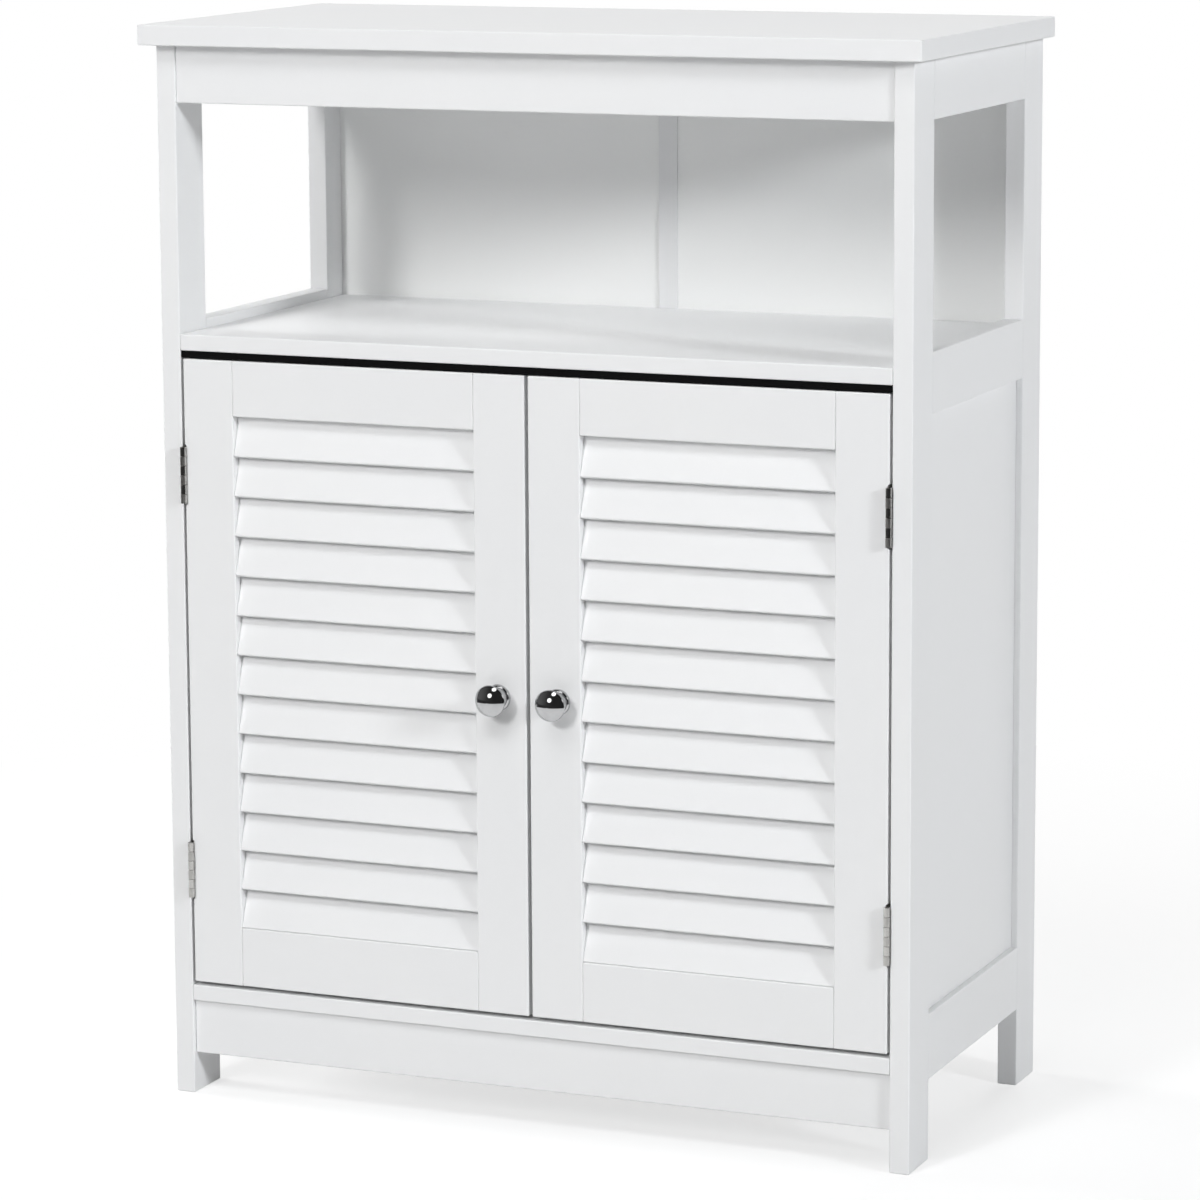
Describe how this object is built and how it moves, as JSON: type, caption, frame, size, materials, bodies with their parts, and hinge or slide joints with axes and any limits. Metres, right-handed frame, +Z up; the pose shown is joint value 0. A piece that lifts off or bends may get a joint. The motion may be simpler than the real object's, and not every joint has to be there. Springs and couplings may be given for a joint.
{
  "type": "louvred door cabinet",
  "caption": "White free-standing cupboard on board legs, with an open bay and side windows over a pair of hinged louvred doors that hide a shelf.",
  "frame": {"origin": "on the floor, in the middle of the box round the closed cupboard, knobs included", "axes": "+X to the cupboard's right as seen from the front, +Y to its back, +Z up; the doors face -Y"},
  "size_m": [0.6, 0.3082, 0.8],
  "materials": {
    "board_paint": "smooth white satin paint on board",
    "thin_board_paint": "white painted thin board",
    "strip_plastic": "white extruded strip",
    "strip_rubber": "black sponge rubber",
    "knob_chrome": "polished chrome",
    "hinge_nickel": "satin nickel plate",
    "screw_zinc": "bright zinc plate",
    "cam_zinc": "cast zinc",
    "pin_nickel": "nickel plate",
    "catch_plastic": "white moulded plastic",
    "magnet_ferrite": "dark ferrite",
    "dowel_beech": "bare fluted wood"
  },
  "bodies": {
    "carcass": {"back_joining_strip": "strip_plastic", "base_panel": "board_paint", "bay_shelf": "board_paint", "cam_bolts": "cam_zinc", "cam_locks": "cam_zinc", "case_dowels": "dowel_beech", "case_screws": "screw_zinc", "catch_magnets": "magnet_ferrite", "door_catch": "catch_plastic", "dust_strip": "strip_rubber", "front_apron": "board_paint", "hinge_pins": "hinge_nickel", "inner_shelf": "board_paint", "left_back_panel": "thin_board_paint", "left_bottom_rail": "board_paint", "left_front_leg": "board_paint", "left_lower_frame_leaf": "hinge_nickel", "left_middle_rail": "board_paint", "left_rear_leg": "board_paint", "left_side_panel": "thin_board_paint", "left_top_rail": "board_paint", "left_upper_frame_leaf": "hinge_nickel", "plinth_board": "board_paint", "right_back_panel": "thin_board_paint", "right_bottom_rail": "board_paint", "right_front_leg": "board_paint", "right_lower_frame_leaf": "hinge_nickel", "right_middle_rail": "board_paint", "right_rear_leg": "board_paint", "right_side_panel": "thin_board_paint", "right_top_rail": "board_paint", "right_upper_frame_leaf": "hinge_nickel", "shelf_pins": "pin_nickel", "top_panel": "board_paint"},
    "left_door": {"left_hinge_stile": "board_paint", "left_meeting_stile": "board_paint", "left_door_top_rail": "board_paint", "left_door_bottom_rail": "board_paint", "left_door_slats": "board_paint", "left_door_dowels": "dowel_beech", "left_knob": "knob_chrome", "left_knob_screw": "screw_zinc", "left_strike_plate": "screw_zinc", "left_door_screws": "screw_zinc", "left_upper_door_leaf": "hinge_nickel", "left_lower_door_leaf": "hinge_nickel"},
    "right_door": {"right_hinge_stile": "board_paint", "right_meeting_stile": "board_paint", "right_door_top_rail": "board_paint", "right_door_bottom_rail": "board_paint", "right_door_slats": "board_paint", "right_door_dowels": "dowel_beech", "right_knob": "knob_chrome", "right_knob_screw": "screw_zinc", "right_strike_plate": "screw_zinc", "right_door_screws": "screw_zinc", "right_upper_door_leaf": "hinge_nickel", "right_lower_door_leaf": "hinge_nickel"}
  },
  "joints": [
    {"name": "left_door_hinge", "type": "hinge", "parent": "carcass", "child": "left_door", "pos_m": [-0.2742, -0.13613, 0.32125], "axis": [0, 0, -1], "range_deg": [0, 170]},
    {"name": "right_door_hinge", "type": "hinge", "parent": "carcass", "child": "right_door", "pos_m": [0.2742, -0.13613, 0.32125], "axis": [0, 0, 1], "range_deg": [0, 170]}
  ]
}
